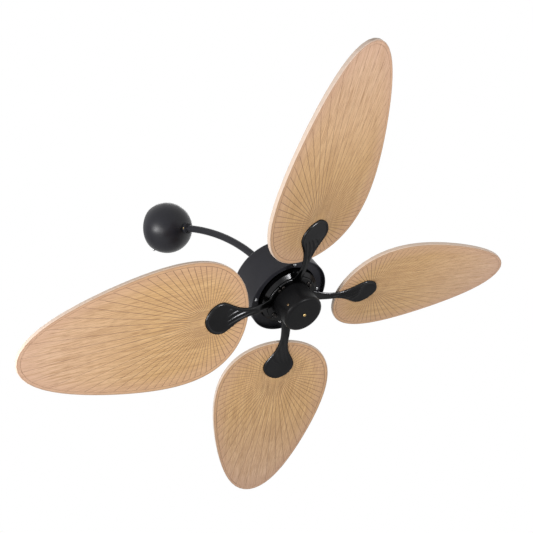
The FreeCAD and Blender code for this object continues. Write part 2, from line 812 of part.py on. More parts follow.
def blade_iron():
    bores = blade_screw_bores(blade_screw[0], 0, blade_screw_bite)
    leaf = iron_leaf().cut(flute_cutters() + [spoon_cutter()] + bores)
    return joined([iron_foot(), iron_neck(), moved(leaf, blade_frame(0))])


def blade_screws():
    bottom = -blade_thickness - blade_washer
    one_blade = [screw_at(blade_screw, blade_screw_bite - bottom, Vector(x, y, bottom), Vector(0, 0, -1))
                 for x, y in blade_screw_spots]
    return Part.makeCompound([moved(one, blade_frame(angle)) for angle in blade_angles for one in one_blade])


def blade_washers():
    ring = tube(blade_screw[0], blade_washer_r, -blade_thickness - blade_washer, -blade_thickness)
    spots = [Placement(Vector(x, y, 0), Rotation()) for x, y in blade_screw_spots]
    return Part.makeCompound([moved(ring, blade_frame(angle) * spot)
                              for angle in blade_angles for spot in spots])


# Switch cap, in the fan frame
def cap_bracket():
    outer = math.sqrt((cap_r - cap_wall - bracket_gap) ** 2 - (bracket_tab_width / 2) ** 2)
    half = bracket_tab_width / 2
    tab = block(outer - bracket_thickness, outer, -half, half, cap_base_z, cap_base_z + bracket_tab_length)
    tab = tab.cut(cap_screw_bore(small_screw[0]))
    disc = tube(shaft_r, outer, cap_base_z, cap_base_z + bracket_thickness)
    return joined([disc] + ring_of(tab, cap_screw_count, cap_screw_angle))


def cap_screw_bore(r):
    start = Vector(cap_r - cap_screw_length, 0, cap_base_z + cap_screw_z)
    return Part.makeCylinder(r, cap_screw_length, start, AXIS_X)


def switch_cap():
    rear_z = cap_base_z - cap_skirt
    body = rounded_rim(cylinder(cap_r, rear_z, cap_front_z), cap_r, cap_front_z, cap_round)
    inner_r, inner_z = cap_r - cap_wall, cap_front_z - cap_wall
    hollow = cylinder(inner_r, rear_z, inner_z)
    body = body.cut(rounded_rim(hollow, inner_r, inner_z, cap_round - cap_wall))
    bores = ring_of(cap_screw_bore(hole_r(small_screw)), cap_screw_count, cap_screw_angle)
    return body.cut(bores + [cylinder(plug_shank_r, inner_z, cap_front_z)])


def cap_screws():
    one = screw_at(small_screw, cap_screw_length, Vector(cap_r, 0, cap_base_z + cap_screw_z), AXIS_X)
    return Part.makeCompound(ring_of(one, cap_screw_count, cap_screw_angle))


def cap_plug():
    return screw_at((plug_shank_r, plug_head_r, plug_head), plug_length, Vector(0, 0, cap_front_z), AXIS_Z)


def plug_nut():
    top = cap_front_z - cap_wall
    return hex_prism(plug_nut_flats, top - plug_nut_height, top).cut(
        cylinder(plug_shank_r, top - plug_nut_height, top))


def shaft_nuts():
    bracket_front = cap_base_z + bracket_thickness
    spans = ((cap_base_z - nut_height, cap_base_z), (bracket_front, bracket_front + nut_height))
    return Part.makeCompound([hex_prism(nut_flats, low, high).cut(cylinder(shaft_r, low, high))
                              for low, high in spans])


def run_capacitor():
    wide, long, tall = capacitor_size
    base = cap_base_z + bracket_thickness
    body = block(capacitor_x - wide / 2, capacitor_x + wide / 2, -long / 2, long / 2, base, base + tall)
    body = body.makeFillet(capacitor_round, [e for e in body.Edges if e.BoundBox.ZLength > tall / 2])
    return spun(body, rest_angle)


wall_pieces = {
    "wall_plate": wall_plate, "cable_grommet": cable_grommet, "terminal_block": terminal_block,
    "terminal_screws": terminal_screws, "arm_socket": arm_socket, "socket_screws": socket_screws,
    "canopy_ball": canopy_ball, "canopy_screws": canopy_screws, "arm_tube": arm_tube,
    "retaining_ring": retaining_ring, "friction_washer": friction_washer, "arm_collar": arm_collar,
    "collar_set_screw": collar_set_screw,
}
fan_pieces = {
    "motor_coupling": motor_coupling, "coupling_pins": coupling_pins, "coupling_screws": coupling_screws,
    "motor_can": motor_can, "front_plate": front_plate, "plate_screws": plate_screws,
    "motor_shaft": motor_shaft, "stator_core": stator_core, "stator_windings": stator_windings,
    "bearing_balls": bearing_balls, "rotor_rear_bell": rotor_rear_bell, "rotor_front_bell": rotor_front_bell,
    "rotor_ring": rotor_ring, "bell_screws": bell_screws, "iron_screws": iron_screws,
    "blade_screws": blade_screws, "blade_washers": blade_washers, "cap_bracket": cap_bracket,
    "switch_cap": switch_cap, "cap_screws": cap_screws, "cap_plug": cap_plug, "plug_nut": plug_nut,
    "shaft_nuts": shaft_nuts, "run_capacitor": run_capacitor,
}

os.makedirs("parts", exist_ok=True)


def export(node, shape, frame):
    moved(shape, frame).exportStep("parts/" + node + ".step")


for node, make in wall_pieces.items():
    export(node, make(), wall_frame)
for node, make in fan_pieces.items():
    export(node, make(), fan_frame)
for end, z in (("rear", rear_bearing_z), ("front", front_bearing_z)):
    export(end + "_inner_race", inner_race(z), fan_frame)
    export(end + "_outer_race", outer_race(z), fan_frame)

one_blade = blade()
one_iron = blade_iron()
for number, angle in enumerate(blade_angles, start=1):
    export("blade_" + str(number), one_blade, fan_frame * blade_frame(angle))
    export("blade_iron_" + str(number), one_iron, fan_frame * Placement(ORIGIN, Rotation(AXIS_Z, angle)))
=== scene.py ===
"""Looks of a wall fan with four leaf-shaped blades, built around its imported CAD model.

The scene is in metres, in the CAD frame. Blades and irons are drawn in millimetres, with x along the
blade from the fan's axis and z toward the room.
"""

import json
import math

import bpy
import numpy as np
from mathutils import Matrix, Vector


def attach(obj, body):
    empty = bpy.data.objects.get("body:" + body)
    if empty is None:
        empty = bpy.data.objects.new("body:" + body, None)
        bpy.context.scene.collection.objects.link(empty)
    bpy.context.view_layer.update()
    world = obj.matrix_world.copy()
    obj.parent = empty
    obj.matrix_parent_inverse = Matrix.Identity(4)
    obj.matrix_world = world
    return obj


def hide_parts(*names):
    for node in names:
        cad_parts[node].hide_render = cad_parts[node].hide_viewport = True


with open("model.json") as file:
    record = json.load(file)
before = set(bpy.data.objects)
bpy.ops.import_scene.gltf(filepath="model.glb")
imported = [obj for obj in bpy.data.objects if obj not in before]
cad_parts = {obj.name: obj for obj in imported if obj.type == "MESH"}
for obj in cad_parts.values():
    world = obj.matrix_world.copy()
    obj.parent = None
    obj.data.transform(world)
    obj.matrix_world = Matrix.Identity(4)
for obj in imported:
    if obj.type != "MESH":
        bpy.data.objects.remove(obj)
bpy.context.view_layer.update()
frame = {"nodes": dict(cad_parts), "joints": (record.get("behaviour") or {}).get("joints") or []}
nodes = frame["nodes"]

MM = 0.001
WHITE = (1, 1, 1, 1)

# Blade, as in the CAD source
BLADE_COUNT = 4
REST_ANGLE = 42.2               # first blade, from sideways toward up
BLADE_PITCH = 12.0
BLADE_RISE = 3.0                # tips lean forward of the blade plane
ROOT_R = 125.0
TIP_R = 660.0
BLADE_WIDTH = 305.0
BLADE_THICKNESS = 10.0
EDGE_ROUND = 2.0
LEAF_FULLNESS = 0.93            # width along the middle, as a part of the full width
LEAF_TAPER = 0.33               # how much fuller the root end is than the tip
LEAF_SWELL = 0.16               # how much fuller both ends are than the middle
BORDER_INSET = 8.0
BORDER_WIDTH = 1.4
BORDER_DEPTH = 0.9
VEIN_COUNT = 64
VEIN_WIDTH = 1.8
VEIN_DEPTH = 0.8
VEIN_CROWDING = 0.27            # how much closer the veins stand toward the tip
VEIN_CENTRE = 228.0
VEIN_START = 14.0               # veins begin this far from their centre, under the iron's tip

# Blade, in the scene only
OUTLINE_SAMPLES = 4000
VEIN_START_SCALE = 0.8          # vein's size at its inner end
VEIN_SPREAD = 0.3               # vein's widest half, as a part of the narrowest gap between veins
VEIN_ACROSS = np.array([-1.0, -0.5, 0.0, 0.5, 1.0])     # points across a vein, in half widths
VEIN_PROFILE = np.array([0.0, 0.55, 1.0, 0.55, 0.0])    # their shares of the depth
VEIN_RINGS = 24
VEIN_OPENING = 12               # full depth is reached in one part of this many of the length
BORDER_PROFILE = ((0.75, 0.6), (0.5, 1.0), (0.25, 0.6))     # places across, and shares of the depth
ROUND_STEPS = 6
BACK_RINGS = (0.97, 0.6, 0.25)  # shares of the way from the middle to the outline

# Painted shade and tints on the blade
VEIN_FADE = 0.5                 # share of the grooves' painted shade that is lost toward the tip
VEIN_FADE_FROM = 90.0           # distances from the vein centre
VEIN_FADE_TO = 380.0
EDGE_FADE = 60.0                # width of the tinted band along the outline
EDGE_LINE_SHADE = 0.35                # painted shade of the grooves, also laid on the front's corner as a dark line
EDGE_LINE_END = 0.4             # how far round the corner it goes, with the blade's side at 1

# Iron, as in the CAD source
IRON_THICKNESS = 5.5
IRON_START = 116.0
IRON_TIP = 241.0
IRON_HALF = 40.0
NECK_HALF = 11.0
NECK_ROOT_X = 52.5
NECK_ROOT_HALF = 15.0
NECK_ROOT_Z = -9.5
NECK_ROOT_THICKNESS = 3.5
FOOT_INNER = 51.0
FOOT_OUTER = 65.5
FOOT_BACK = -11.0
FOOT_FRONT = -6.0
FOOT_HALF_ANGLE = 43.6
FOOT_ROUND = 3.0

# Iron's outline, lip and crowned neck, in the scene only
IRON_FLARE = ((0.27, 0.22), (0.55, 0.86), (0.66, 1.0), (0.79, 0.88), (0.92, 0.45))  # length, width
CURVE_STEPS = 40
RIM_SPLIT = 225.0               # the outline is sampled more closely from here to the tip
RIM_SAMPLES = (500, 200)
IRON_LIP = 5.0
LIP_BAND = 0.85                 # most of the half width that the lip takes
LIP_DROP = 0.9                  # most of the thickness that the lip falls by
CROWN_DROP = 0.85               # share of the thickness that the neck's sides fall by
CROWN_START = 106.0             # the crown goes over into the lip from here to its end
CROWN_END = 150.0
FOOT_INNER_ROUND = 0.6
FOOT_END_STEP = 0.3             # section inside the rounded end, as a part of the round
FOOT_SECTIONS = 25
BEVEL_STEPS = 7

# Iron's sections
SECTION_STEP = 1.5
TIP_START = 206.0               # sections stand closer from here to the tip
TIP_SECTIONS = 30
TIP_GAP = 0.05
LIP_POINTS = 10
FRONT_POINTS = 43
UNDER_POINTS = 9

# Ridges on the irons: the first one's start and end, and how far each next one is from it
RIDGE_START = (112.0, 4.5)
RIDGE_START_STEP = (21.0, -7.5)
RIDGE_END = (190.0, 26.0)
RIDGE_END_STEP = (0.0, -10.0)
RIDGE_BOW = 3.5
RIDGE_HALVES = (4.0, 2.8, 2.6, 2.4)
RIDGE_HEIGHT = 1.8
RIDGE_OVERRUN = 0.3             # shares of a ridge's length, with 0 at its start and 1 at its end
RIDGE_RISE = (-0.25, 0.12)
RIDGE_FALL = (0.85, 1.1)
RIDGE_BED = 1.5
BED_RISE = (96.0, 118.0)
BED_FALL = (183.0, 195.0)
SPOON_RISE = (183.0, 197.0)
SPOON_DISH = 1.5
RELIEF_RISE = (0.5 * IRON_LIP, 1.6 * IRON_LIP)      # distances from the rim


def fan_matrix():
    """Fan frame from the rotor's joint: Z along the fan axis toward the room, X as in the part."""
    joint = next(j for j in frame["joints"] if j["name"] == "rotor_spin")
    z = Vector(joint["axis"]).normalized()
    x = Vector((1, 0, 0))
    turned = Matrix((x, z.cross(x), z)).transposed().to_4x4()
    return Matrix.Translation(Vector(joint["pos_m"])) @ turned


def turn(degrees, axis):
    return Matrix.Rotation(math.radians(degrees), 4, axis)


LEAN = turn(-BLADE_RISE, "Y") @ turn(BLADE_PITCH, "X")


def smooth(low, high, value):
    """Goes from 0 at low to 1 at high, without a corner."""
    t = np.clip((value - low) / (high - low), 0, 1)
    return t * t * (3 - 2 * t)


# Meshes
def ring_faces(rings, count):
    """Quads between rings of count points each, all numbered in order, the rings closed."""
    faces = []
    for k in range(rings - 1):
        a, b = k * count, (k + 1) * count
        for i in range(count):
            j = (i + 1) % count
            faces.append((a + i, a + j, b + j, b + i))
    return faces


def add_object(name, data):
    added = bpy.data.objects.new(name, data)
    bpy.context.scene.collection.objects.link(added)
    return added


def mesh_object(name, points, faces, matrix, masks=None):
    """New smooth piece from points in millimetres, set in place by matrix.

    Each point keeps its place before that, in metres, and its value in each mask.
    """
    own = np.asarray(points) * MM
    placed = own @ np.array(matrix.to_3x3()).T + np.array(matrix.translation)
    mesh = bpy.data.meshes.new(name)
    mesh.from_pydata([tuple(p) for p in placed], [], faces)
    place = mesh.attributes.new("place", "FLOAT_VECTOR", "POINT")
    place.data.foreach_set("vector", own.astype(np.float32).ravel())
    for mask, values in (masks or {}).items():
        layer = mesh.attributes.new(mask, "FLOAT", "POINT")
        layer.data.foreach_set("value", np.asarray(values, np.float32))
    mesh.polygons.foreach_set("use_smooth", [True] * len(mesh.polygons))
    mesh.validate()
    mesh.update()
    return add_object(name, mesh)


def weigh_normals(piece):
    """Flat faces keep their shading up to the narrow grooves and rounds beside them."""
    weighted = piece.modifiers.new("weighted_normals", "WEIGHTED_NORMAL")
    weighted.mode = "FACE_AREA"
    weighted.weight = 80
    weighted.keep_sharp = False


# Blades
def leaf_reach(angles, inset):
    """Distance from the vein centre to the leaf's outline, drawn in by inset, in each direction."""
    way = np.linspace(0, math.pi, OUTLINE_SAMPLES)
    lean = np.cos(way)
    root, tip = ROOT_R + inset, TIP_R - inset
    x = root + (tip - root) * (1 - lean) / 2 - VEIN_CENTRE
    fullness = LEAF_FULLNESS + LEAF_TAPER * lean + LEAF_SWELL * lean ** 2
    y = (BLADE_WIDTH / 2 - inset) * np.sin(way) * fullness
    side = np.abs((angles + math.pi) % (2 * math.pi) - math.pi)
    return np.interp(side, np.arctan2(y, x)[::-1], np.hypot(x, y)[::-1])


def vein_angles():
    even = (np.arange(VEIN_COUNT) + 0.5) * 2 * math.pi / VEIN_COUNT
    return even - VEIN_CROWDING * np.sin(even)


def blade_mesh():
    """Rings around the vein centre, from the front round to the back.

    Each ring has points on both sides of each vein and one between it and the next.
    """
    veins = vein_angles()
    between = (veins + np.append(veins[1:], veins[0] + 2 * math.pi)) / 2
    inner_inset = BORDER_INSET + BORDER_WIDTH
    widest = VEIN_SPREAD * np.diff(veins).min()
    count = VEIN_COUNT * (len(VEIN_ACROSS) + 1)
    points, masks = [], {"groove_shade": [], "edge": [], "side": []}

    def fan_out(half_width, reach):
        """Angles of one ring's points, with each vein's half width as a length at the vein's reach."""
        offsets = (half_width / reach)[:, None] * VEIN_ACROSS[None, :]
        return np.hstack([veins[:, None] + offsets, between[:, None]]).ravel()

    def faded(distance):
        """Share of the grooves' painted shade that is left, this far from the vein centre."""
        return 1 - VEIN_FADE * smooth(VEIN_FADE_FROM, VEIN_FADE_TO, distance)

    def add_ring(angles, distance, height, groove_shade=0.0, edge=1.0, side=0.0):
        x, y = VEIN_CENTRE + distance * np.cos(angles), distance * np.sin(angles)
        points.append(np.column_stack([x, y, np.broadcast_to(height, distance.shape)]))
        for mask, value in (("groove_shade", groove_shade), ("edge", edge), ("side", side)):
            masks[mask].append(np.broadcast_to(value, distance.shape))

    for f in np.linspace(0, 1, VEIN_RINGS):
        scale = VEIN_START_SCALE + (1 - VEIN_START_SCALE) * f
        vein_reach = VEIN_START + (leaf_reach(veins, inner_inset) - VEIN_START) * f
        angles = fan_out(np.minimum(VEIN_WIDTH / 2 * scale, widest * vein_reach), vein_reach)
        distance = VEIN_START + (leaf_reach(angles, inner_inset) - VEIN_START) * f
        cut = np.tile(np.append(VEIN_PROFILE, 0.0), VEIN_COUNT) * min(1.0, VEIN_OPENING * f)
        edge = 1 - smooth(BORDER_INSET, EDGE_FADE, leaf_reach(angles, 0.0) - distance)
        # the groove's depth, and painted shade in the groove as deep as it is
        add_ring(angles, distance, -VEIN_DEPTH * scale * cut, cut * faded(distance), edge)
    for part, depth in BORDER_PROFILE:
        distance = leaf_reach(angles, BORDER_INSET + BORDER_WIDTH * part)
        add_ring(angles, distance, -BORDER_DEPTH * depth, depth * faded(distance))
    for inset in (BORDER_INSET, BORDER_INSET / 2):
        add_ring(angles, leaf_reach(angles, inset), 0.0)
    rounds = [(EDGE_ROUND * (1 - math.sin(q)), EDGE_ROUND * (1 - math.cos(q)), math.sin(q))
              for q in np.linspace(0, math.pi / 2, ROUND_STEPS)]
    for inset, drop, side in rounds:
        # painted shade: a dark line where the front turns round the corner
        corner_shade = EDGE_LINE_SHADE * (side < EDGE_LINE_END)
        add_ring(angles, leaf_reach(angles, inset), -drop, corner_shade, side=side)
    for inset, drop, side in reversed(rounds):
        add_ring(angles, leaf_reach(angles, inset), drop - BLADE_THICKNESS, side=side)
    for f in BACK_RINGS:
        add_ring(angles, leaf_reach(angles, EDGE_ROUND) * f, -BLADE_THICKNESS, edge=f)

    rings = len(points)
    faces = ring_faces(rings, count)
    front, back = rings * count, rings * count + 1
    last = (rings - 1) * count
    faces += [(front, (i + 1) % count, i) for i in range(count)]
    faces += [(back, last + i, last + (i + 1) % count) for i in range(count)]
    points.append([[VEIN_CENTRE, 0, 0], [VEIN_CENTRE, 0, -BLADE_THICKNESS]])
    outward = [tuple(reversed(face)) for face in faces]
    values = {mask: np.append(np.concatenate(rows), [0, 0]) for mask, rows in masks.items()}
    return np.vstack(points), outward, values


# Irons
def neck_ease(x):
    """Goes from 0 at the foot to 1 at the leaf, fast at first, as the neck rises off the drum."""
    return np.sin(np.clip((x - NECK_ROOT_X) / (IRON_START - NECK_ROOT_X), 0, 1) * math.pi / 2)


def iron_half_width(x):
    """Half the width of the iron's neck and leaf at x, from a smooth curve through a few points."""
    length = IRON_TIP - IRON_START
    side = [(IRON_START, NECK_HALF)]
    side += [(IRON_START + length * along, NECK_HALF + (IRON_HALF - NECK_HALF) * part)
             for along, part in IRON_FLARE]
    ends = [(IRON_TIP, 0.0), (side[-1][0], -side[-1][1])]
    knots = np.array([(2 * IRON_START - side[1][0], side[1][1])] + side + ends)
    xs, ys = [], []
    for p0, p1, p2, p3 in zip(knots, knots[1:], knots[2:], knots[3:]):
        t = np.linspace(0, 1, CURVE_STEPS)[:, None]
        curve = 0.5 * (2 * p1 + (p2 - p0) * t + (2 * p0 - 5 * p1 + 4 * p2 - p3) * t ** 2
                       + (3 * p1 - p0 - 3 * p2 + p3) * t ** 3)
        xs += list(curve[:, 0])
        ys += list(curve[:, 1])
    neck = NECK_ROOT_HALF + (NECK_HALF - NECK_ROOT_HALF) * neck_ease(x)
    return np.where(x < IRON_START, neck, np.interp(x, np.maximum.accumulate(xs), ys))


def rim_distance(x, y):
    """Distance from points on the iron to its outline, apart from the end that lies in the foot."""
    along = np.concatenate([np.linspace(NECK_ROOT_X, RIM_SPLIT, RIM_SAMPLES[0]),
                            np.linspace(RIM_SPLIT, IRON_TIP, RIM_SAMPLES[1])])
    half = iron_half_width(along)
    return np.array([np.hypot(along - px, half - abs(py)).min() for px, py in zip(x, y)])


def iron_relief(x, y, inside):
    """Height added to the iron's front inside its lip: bowed ridges in a bed, then a dished spoon."""
    ridges = np.zeros_like(y)
    for i, ridge_half in enumerate(RIDGE_HALVES):
        start = np.array(RIDGE_START) + i * np.array(RIDGE_START_STEP)
        end = np.array(RIDGE_END) + i * np.array(RIDGE_END_STEP)
        way = end - start
        t = np.clip((x - start[0]) / way[0], -RIDGE_OVERRUN, 1 + RIDGE_OVERRUN)
        middle = start[1] + t * way[1] - 4 * RIDGE_BOW * t * (1 - t)
        off = (y - middle) * way[0] / np.hypot(*way)
        fade = smooth(*RIDGE_RISE, t) * (1 - smooth(*RIDGE_FALL, t))
        ridges = np.maximum(ridges, fade * np.exp(-(off / ridge_half) ** 2))
    bed = smooth(*BED_RISE, x) * (1 - smooth(*BED_FALL, x))
    dish = smooth(*SPOON_RISE, x)
    return inside * (bed * (RIDGE_HEIGHT * ridges - RIDGE_BED) - SPOON_DISH * dish)


def iron_sections():
    """Closed sections from the drum to the tip.

    A crowned neck flattens into a leaf with a rounded lip.
    """
    straight = np.arange(NECK_ROOT_X, TIP_START, SECTION_STEP)
    closing = 1 - np.sin(np.linspace(0, math.pi / 2, TIP_SECTIONS))
    tip = IRON_TIP - TIP_GAP - (IRON_TIP - TIP_START) * closing
    quarter = 1 - np.sin(np.linspace(math.pi / 2, 0, LIP_POINTS))
    sections = []
    for x in np.concatenate([straight, tip]):
        half = float(iron_half_width(x))
        ease = float(neck_ease(x))
        thick = NECK_ROOT_THICKNESS + (IRON_THICKNESS - NECK_ROOT_THICKNESS) * ease
        leaf = float(smooth(CROWN_START, CROWN_END, x))
        lip = IRON_LIP * leaf + half * (1 - leaf)
        band = min(lip, LIP_BAND * half)
        drop = min(IRON_LIP, LIP_DROP * thick) * leaf + CROWN_DROP * thick * (1 - leaf)
        outer = half - band * quarter
        front = np.linspace(band - half, half - band, FRONT_POINTS)[1:-1]
        y = np.concatenate([-outer, front, outer[::-1]])
        row = np.full_like(y, x)
        rim = rim_distance(row, y)
        over = np.clip(1 - rim / lip, 0, 1)
        top = thick - drop * (1 - np.sqrt(1 - over ** 2))
        top += iron_relief(row, y, smooth(*RELIEF_RISE, rim))
        under = np.linspace(1, -1, UNDER_POINTS) * half
        across = np.concatenate([y, under])
        height = np.concatenate([top, np.zeros(len(under))])
        sections.append(np.column_stack([np.full(len(across), x), across, height]))
    return sections


def place_iron(section):
    """From the drum's flat face up to the leaning, pitched blade, easing from one to the other."""
    share = float(neck_ease(section[0, 0]))
    lean = np.array(LEAN.to_3x3())
    at_drum = section + np.array([0, 0, NECK_ROOT_Z])
    at_blade = section @ lean.T
    return at_drum * (1 - share) + at_blade * share


def foot_sections():
    """Sections of the arc foot on the drum, with its front edges and its ends rounded."""
    sections = []
    end = math.degrees(FOOT_INNER_ROUND / FOOT_OUTER)
    stops = [(-FOOT_HALF_ANGLE, FOOT_INNER_ROUND),
             (-FOOT_HALF_ANGLE + FOOT_END_STEP * end, FOOT_END_STEP * FOOT_INNER_ROUND)]
    stops += [(angle, 0.0) for angle in np.linspace(-FOOT_HALF_ANGLE + end, FOOT_HALF_ANGLE - end,
                                                    FOOT_SECTIONS)]
    stops += [(-angle, inset) for angle, inset in reversed(stops[:2])]
    bevel = [(1 - math.sin(q), 1 - math.cos(q)) for q in np.linspace(0, math.pi / 2, BEVEL_STEPS)]
    for angle, inset in stops:
        inner, outer, front = FOOT_INNER + inset, FOOT_OUTER - inset, FOOT_FRONT - inset
        profile = [(inner, FOOT_BACK), (outer, FOOT_BACK)]
        profile += [(outer - FOOT_ROUND * b, front - FOOT_ROUND * a) for a, b in bevel]
        profile += [(inner + FOOT_INNER_ROUND * a, front - FOOT_INNER_ROUND * b) for a, b in bevel]
        way = math.radians(angle)
        sections.append(np.array([(r * math.cos(way), r * math.sin(way), z) for r, z in profile]))
    return sections


def iron_mesh():
    """Two closed shells, the neck with its leaf and the foot, one running into the other."""
    points, faces = [], []
    for sections in ([place_iron(section) for section in iron_sections()], foot_sections()):
        count, base = len(sections[0]), sum(len(p) for p in points)
        shell = ring_faces(len(sections), count)
        last = (len(sections) - 1) * count
        shell += [tuple(range(count - 1, -1, -1)), tuple(range(last, last + count))]
        faces += [tuple(base + i for i in reversed(face)) for face in shell]
        points += sections
    return np.vstack(points), faces


# Node materials
class Paint:
    """A procedural material under construction, in metres.

    Its textures lie on the piece's coordinates, or on the place that its points keep.
    """

    def __init__(self, name, own_place=False):
        self.material = bpy.data.materials.new(name)
        self.material.use_nodes = True
        self.tree = self.material.node_tree
        self.shader = self.tree.nodes["Principled BSDF"]
        if own_place:
            self.where = self.attribute("place").outputs["Vector"]
        else:
            self.where = self.add("ShaderNodeTexCoord").outputs["Object"]

    def feed(self, socket, value):
        if isinstance(value, bpy.types.NodeSocket):
            self.tree.links.new(value, socket)
        else:
            socket.default_value = value

    def feed_all(self, node, inputs):
        for key, value in inputs.items():
            self.feed(node.inputs[key.replace("_", " ")], value)

    def add(self, kind, **inputs):
        node = self.tree.nodes.new(kind)
        self.feed_all(node, inputs)
        return node

    def set(self, **inputs):
        self.feed_all(self.shader, inputs)
        return self.material

    def attribute(self, name):
        node = self.add("ShaderNodeAttribute")
        node.attribute_name = name
        return node

    def mask(self, name):
        return self.attribute(name).outputs["Fac"]

    def stretched(self, scale, shift=(0, 0, 0)):
        node = self.add("ShaderNodeMapping", Scale=scale, Location=shift, Vector=self.where)
        return node.outputs["Vector"]

    def noise(self, scale, detail=3.0, rough=0.5, where=None, distort=0.0):
        node = self.add("ShaderNodeTexNoise", Scale=scale, Detail=detail, Roughness=rough,
                        Distortion=distort, Vector=where or self.where)
        return node.outputs["Fac"]

    def ranged(self, value, low, high, start=0.3, end=0.7):
        node = self.add("ShaderNodeMapRange", Value=value, From_Min=start, From_Max=end,
                        To_Min=low, To_Max=high)
        return node.outputs["Result"]

    def ramp(self, value, *stops):
        node = self.add("ShaderNodeValToRGB", Fac=value)
        steps = node.color_ramp.elements
        while len(steps) < len(stops):
            steps.new(0.5)
        for step, (place, colour) in zip(steps, stops):
            step.position = place
            step.color = (*colour, 1.0)
        return node.outputs["Color"]

    def blend(self, share, first, second, how="MIX"):
        node = self.add("ShaderNodeMix")
        node.data_type = "RGBA"
        node.blend_type = how
        for name, value in (("Factor", share), ("A", first), ("B", second)):
            socket = next(s for s in node.inputs if s.name == name and s.enabled)
            if isinstance(value, tuple):
                value = (*value, 1.0)
            self.feed(socket, value)
        return next(s for s in node.outputs if s.enabled)

    def maths(self, how, first, second):
        node = self.add("ShaderNodeMath")
        node.operation = how
        self.feed(node.inputs[0], first)
        self.feed(node.inputs[1], second)
        return node.outputs["Value"]

    def bump(self, height, distance, strength=1.0):
        node = self.add("ShaderNodeBump", Height=height, Distance=distance, Strength=strength)
        self.set(Normal=node.outputs["Normal"])


def scaled(colour, factor):
    return tuple(c * factor for c in colour)


def coated(name, colour, rough, peel, peel_scale, gloss, metal=0.0, rim=1.0):
    """Painted or blackened metal: an even colour with faint clouds, and the coat's fine texture."""
    p = Paint(name)
    clouds = p.noise(scale=14.0, detail=4.0, rough=0.6)
    tone = p.ramp(clouds, (0.35, colour), (0.65, scaled(colour, 1.22)))
    specks = p.ranged(p.noise(scale=2600.0, detail=1.0), 0.0, 0.3, start=0.62, end=0.8)
    tone = p.blend(specks, tone, scaled(colour, 1.4))
    p.bump(p.noise(peel_scale, detail=2.0), peel)
    smudges = p.noise(scale=40.0, detail=4.0)
    return p.set(Base_Color=tone, Roughness=p.ranged(smudges, rough - 0.04, rough + 0.05),
                 Specular_IOR_Level=gloss, Metallic=metal, Specular_Tint=(rim, rim, rim, 1.0))


def bare_metal(name, colour, rough):
    """Bare or plated metal with fine drawn lines and slightly dulled patches."""
    p = Paint(name)
    drawn = p.stretched((300.0, 2500.0, 300.0))
    patches = p.noise(scale=60.0, detail=4.0, rough=0.6)
    tone = p.ramp(patches, (0.3, scaled(colour, 0.75)), (0.7, colour))
    p.bump(p.noise(scale=1.0, rough=0.6, where=drawn), distance=0.00002)
    return p.set(Base_Color=tone, Metallic=1.0, Roughness=p.ranged(patches, rough + 0.1, rough))


def moulded(name, colour, rough, grain_scale=1800.0, grain=0.00003):
    """Moulded plastic, rubber or pressed fibre: mottled colour with a fine surface grain."""
    p = Paint(name)
    mottle = p.noise(scale=120.0, detail=5.0, rough=0.65)
    tone = p.ramp(mottle, (0.3, scaled(colour, 0.86)), (0.7, scaled(colour, 1.08)))
    p.bump(p.noise(grain_scale, detail=2.0), grain)
    return p.set(Base_Color=tone, Roughness=p.ranged(mottle, rough - 0.05, rough + 0.06))


# Wood colours, before each blade's own painted shade
WOOD_BANDS = ((0.3, (0.56, 0.345, 0.155)), (0.5, (0.66, 0.415, 0.20)), (0.72, (0.74, 0.49, 0.25)))
WOOD_WARP = (0.66, 0.40, 0.175)
WOOD_TIP = (0.76, 0.53, 0.44)
WOOD_STREAK = (0.42, 0.235, 0.11)
WOOD_PORE = (0.28, 0.15, 0.07)
WOOD_EDGE = (0.58, 0.355, 0.245)
# Painted shade in the grooves, darkest where they are deepest
WOOD_GROOVE_SHADE = (0.13, 0.07, 0.05)
# Side walls' paler tone: partly their own, partly a painted highlight
SIDE_TONE_AND_HIGHLIGHT = (0.64, 0.56, 0.49)

# Painted light and shade of the four blades and of their root ends, for how the light falls
# on each; and where each one's grain lies in the noise
LEAF_PAINTED_SHADES = ((0.93, 0.90), (0.89, 0.80), (1.0, 0.98), (0.80, 1.10))
GRAIN_STEP = 1.7
GRAIN_SKEW = 0.37


